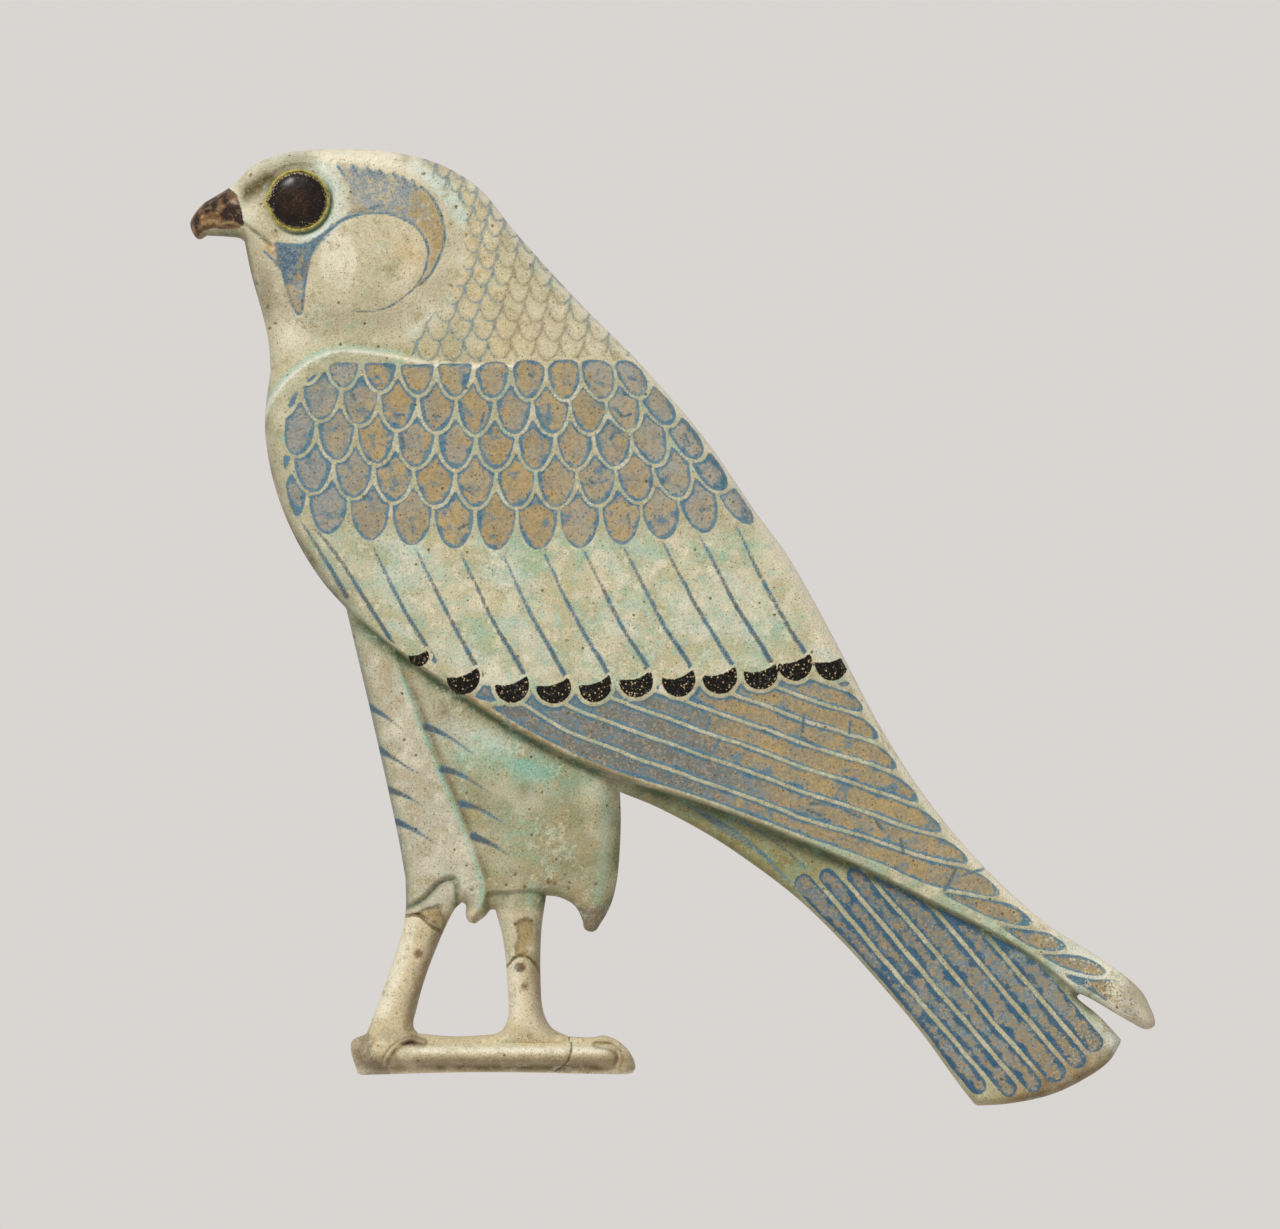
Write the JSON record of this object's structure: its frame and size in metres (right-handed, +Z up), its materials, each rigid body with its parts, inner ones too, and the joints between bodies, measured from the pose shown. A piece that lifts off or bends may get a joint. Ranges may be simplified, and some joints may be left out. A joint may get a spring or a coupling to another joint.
{
  "type": "falcon inlay figure",
  "caption": "Flat-backed relief of a standing falcon in left profile with a set-in eye, made to be set upright into a panel.",
  "frame": {"origin": "on the flat back, at the middle of the figure's overall width and height", "axes": "+Y out of the flat back, into the panel; -Y towards the viewer; +Z up to the crown; -X towards the beak"},
  "size_m": [0.1591, 0.0128, 0.158],
  "materials": {
    "faience_body": "worn matt glaze in cream, pale green, blue-grey and tan, with soft sheen on the rims",
    "eye_glaze": "dark brown glaze, glossy"
  },
  "bodies": {
    "root": {"falcon_body": "faience_body", "eye": "eye_glaze"}
  },
  "joints": []
}
